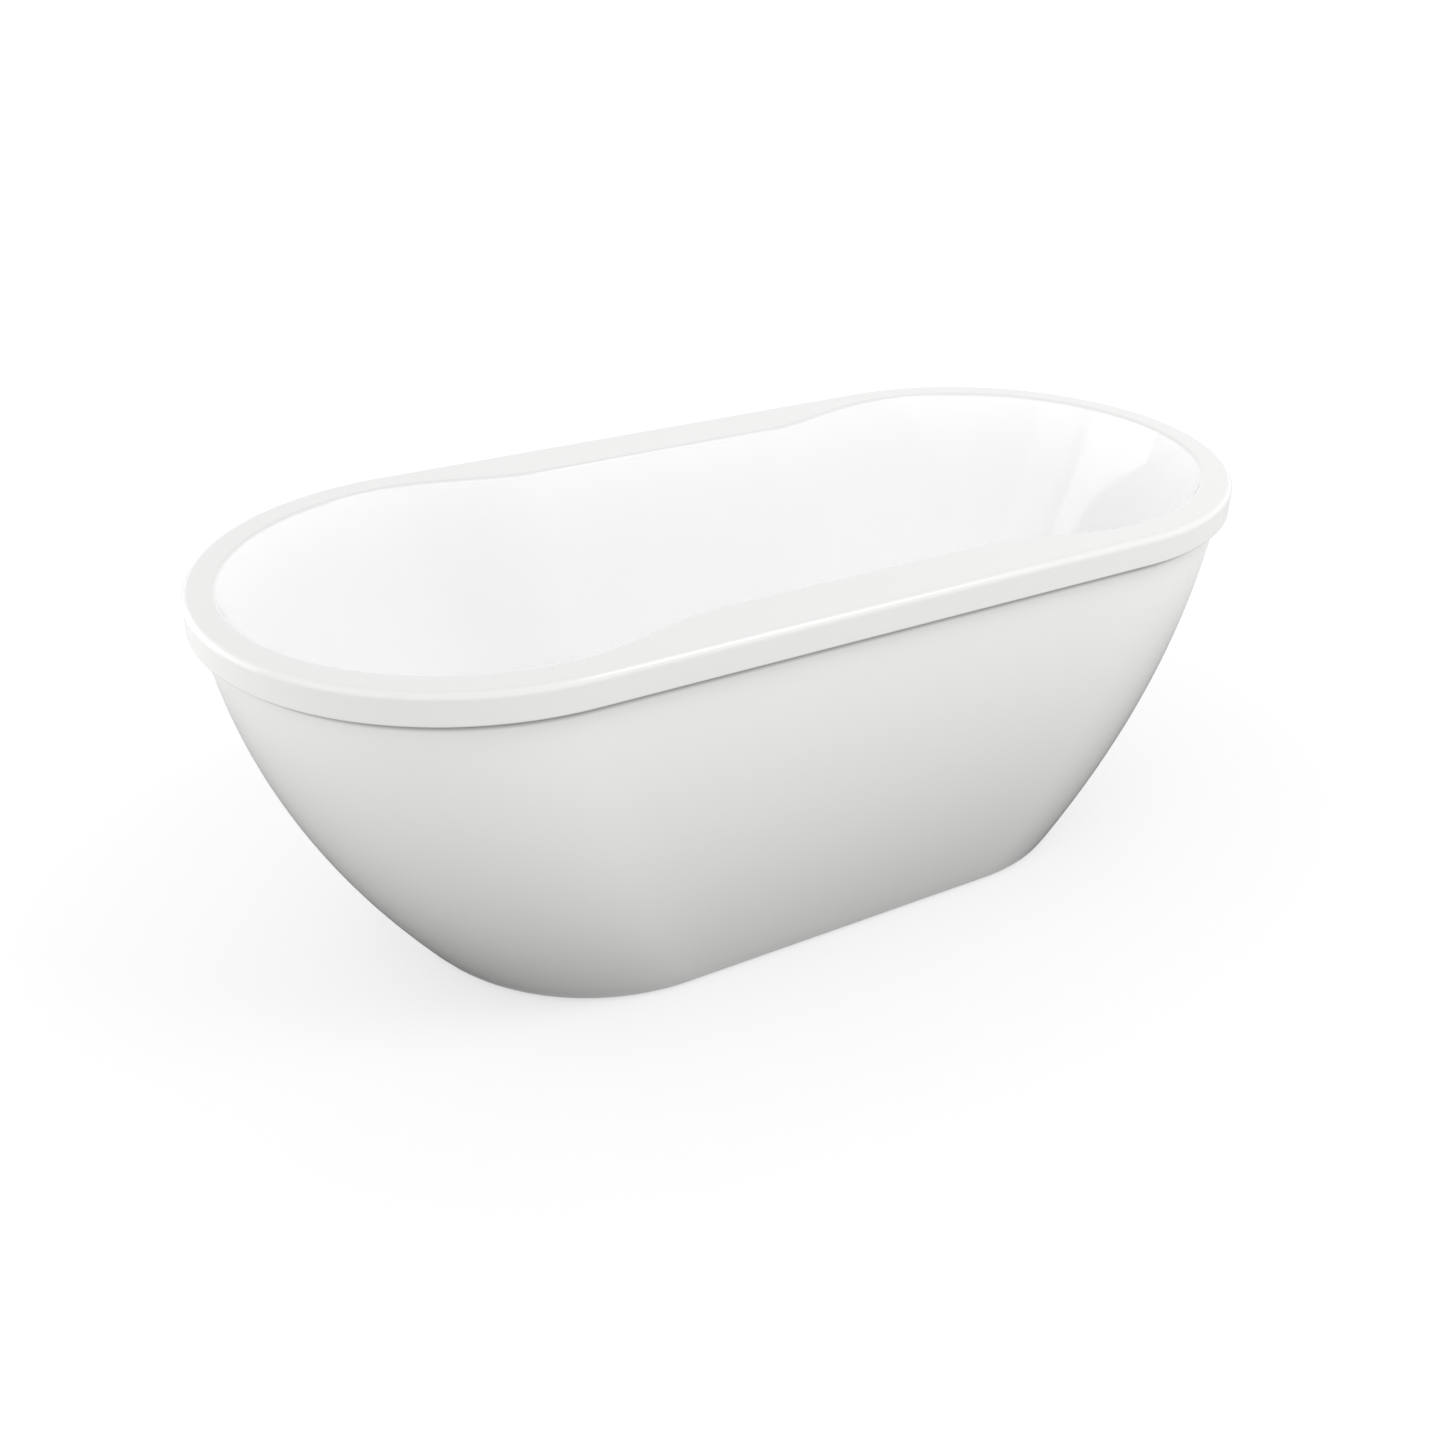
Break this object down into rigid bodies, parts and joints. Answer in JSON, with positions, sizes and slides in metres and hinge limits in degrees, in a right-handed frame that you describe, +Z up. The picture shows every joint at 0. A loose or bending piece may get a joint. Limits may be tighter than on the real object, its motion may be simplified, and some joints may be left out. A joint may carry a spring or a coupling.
{
  "type": "freestanding bathtub",
  "caption": "Oval freestanding bathtub: wide flat rim with a downturned lip, waisted basin opening, tapered skirt, frame on levelling feet, click waste and overflow.",
  "frame": {"origin": "on the floor, under the middle of the tub", "axes": "+X along the tub's length, +Y across it towards the side with no overflow, +Z up"},
  "size_m": [1.7, 0.79, 0.6],
  "materials": {
    "acrylic_shell": "polished white acrylic",
    "acrylic_skirt": "glossy white acrylic",
    "plywood": "sanded plywood",
    "galvanised_steel": "galvanised",
    "zinc_plated": "zinc plated",
    "black_nylon": "moulded black nylon",
    "chrome": "polished chrome",
    "black_rubber": "matt rubber",
    "waste_plastic": "moulded grey-white plastic"
  },
  "bodies": {
    "tub": {"tub_shell": "acrylic_shell", "outer_skirt": "acrylic_skirt", "base_board": "plywood", "rim_batten_front": "plywood", "rim_batten_back": "plywood", "frame_rail_front": "galvanised_steel", "frame_rail_back": "galvanised_steel", "frame_crossbar_1": "galvanised_steel", "board_screw_1": "zinc_plated", "skirt_bracket_1": "galvanised_steel", "bracket_screw_1": "zinc_plated", "frame_crossbar_2": "galvanised_steel", "board_screw_2": "zinc_plated", "skirt_bracket_2": "galvanised_steel", "bracket_screw_2": "zinc_plated", "frame_crossbar_3": "galvanised_steel", "board_screw_3": "zinc_plated", "skirt_bracket_3": "galvanised_steel", "bracket_screw_3": "zinc_plated", "frame_crossbar_4": "galvanised_steel", "board_screw_4": "zinc_plated", "skirt_bracket_4": "galvanised_steel", "bracket_screw_4": "zinc_plated", "foot_lock_nut_1": "zinc_plated", "foot_lock_nut_2": "zinc_plated", "foot_lock_nut_3": "zinc_plated", "foot_lock_nut_4": "zinc_plated", "foot_lock_nut_5": "zinc_plated", "foot_lock_nut_6": "zinc_plated", "drain_flange": "chrome", "drain_gasket": "black_rubber", "drain_body": "waste_plastic", "waste_tee": "waste_plastic", "outlet_nut": "waste_plastic", "overflow_cover": "chrome", "overflow_screw": "chrome", "overflow_gasket": "black_rubber", "overflow_elbow": "waste_plastic", "overflow_hose": "waste_plastic"},
    "stopper": {"stopper_cap": "chrome", "stopper_post": "chrome", "stopper_seal": "black_rubber"},
    "foot_1_pad": {"foot_pad_1": "black_nylon"},
    "foot_1_screw": {"foot_stem_1": "zinc_plated"},
    "foot_2_pad": {"foot_pad_2": "black_nylon"},
    "foot_2_screw": {"foot_stem_2": "zinc_plated"},
    "foot_3_pad": {"foot_pad_3": "black_nylon"},
    "foot_3_screw": {"foot_stem_3": "zinc_plated"},
    "foot_4_pad": {"foot_pad_4": "black_nylon"},
    "foot_4_screw": {"foot_stem_4": "zinc_plated"},
    "foot_5_pad": {"foot_pad_5": "black_nylon"},
    "foot_5_screw": {"foot_stem_5": "zinc_plated"},
    "foot_6_pad": {"foot_pad_6": "black_nylon"},
    "foot_6_screw": {"foot_stem_6": "zinc_plated"}
  },
  "joints": [
    {"name": "stopper_lift", "type": "slide", "parent": "tub", "child": "stopper", "axis": [0, 0, 1], "range_m": [0, 0.01]},
    {"name": "foot_1_height", "type": "slide", "parent": "tub", "child": "foot_1_pad", "axis": [0, 0, 1], "range_m": [-0.02, 0]},
    {"name": "foot_1_turn", "type": "hinge", "parent": "foot_1_pad", "child": "foot_1_screw", "pos_m": [-0.46, -0.17, 0.006], "axis": [0, 0, 1], "range_deg": [-4120, 0]},
    {"name": "foot_2_height", "type": "slide", "parent": "tub", "child": "foot_2_pad", "axis": [0, 0, 1], "range_m": [-0.02, 0]},
    {"name": "foot_2_turn", "type": "hinge", "parent": "foot_2_pad", "child": "foot_2_screw", "pos_m": [-0.12, -0.17, 0.006], "axis": [0, 0, 1], "range_deg": [-4120, 0]},
    {"name": "foot_3_height", "type": "slide", "parent": "tub", "child": "foot_3_pad", "axis": [0, 0, 1], "range_m": [-0.02, 0]},
    {"name": "foot_3_turn", "type": "hinge", "parent": "foot_3_pad", "child": "foot_3_screw", "pos_m": [0.46, -0.17, 0.006], "axis": [0, 0, 1], "range_deg": [-4120, 0]},
    {"name": "foot_4_height", "type": "slide", "parent": "tub", "child": "foot_4_pad", "axis": [0, 0, 1], "range_m": [-0.02, 0]},
    {"name": "foot_4_turn", "type": "hinge", "parent": "foot_4_pad", "child": "foot_4_screw", "pos_m": [-0.46, 0.17, 0.006], "axis": [0, 0, 1], "range_deg": [-4120, 0]},
    {"name": "foot_5_height", "type": "slide", "parent": "tub", "child": "foot_5_pad", "axis": [0, 0, 1], "range_m": [-0.02, 0]},
    {"name": "foot_5_turn", "type": "hinge", "parent": "foot_5_pad", "child": "foot_5_screw", "pos_m": [0.12, 0.17, 0.006], "axis": [0, 0, 1], "range_deg": [-4120, 0]},
    {"name": "foot_6_height", "type": "slide", "parent": "tub", "child": "foot_6_pad", "axis": [0, 0, 1], "range_m": [-0.02, 0]},
    {"name": "foot_6_turn", "type": "hinge", "parent": "foot_6_pad", "child": "foot_6_screw", "pos_m": [0.46, 0.17, 0.006], "axis": [0, 0, 1], "range_deg": [-4120, 0]}
  ],
  "couplings": [
    {"joint": "foot_1_turn", "follows": "foot_1_height", "rad_per_m": 3590.4},
    {"joint": "foot_2_turn", "follows": "foot_2_height", "rad_per_m": 3590.4},
    {"joint": "foot_3_turn", "follows": "foot_3_height", "rad_per_m": 3590.4},
    {"joint": "foot_4_turn", "follows": "foot_4_height", "rad_per_m": 3590.4},
    {"joint": "foot_5_turn", "follows": "foot_5_height", "rad_per_m": 3590.4},
    {"joint": "foot_6_turn", "follows": "foot_6_height", "rad_per_m": 3590.4}
  ]
}
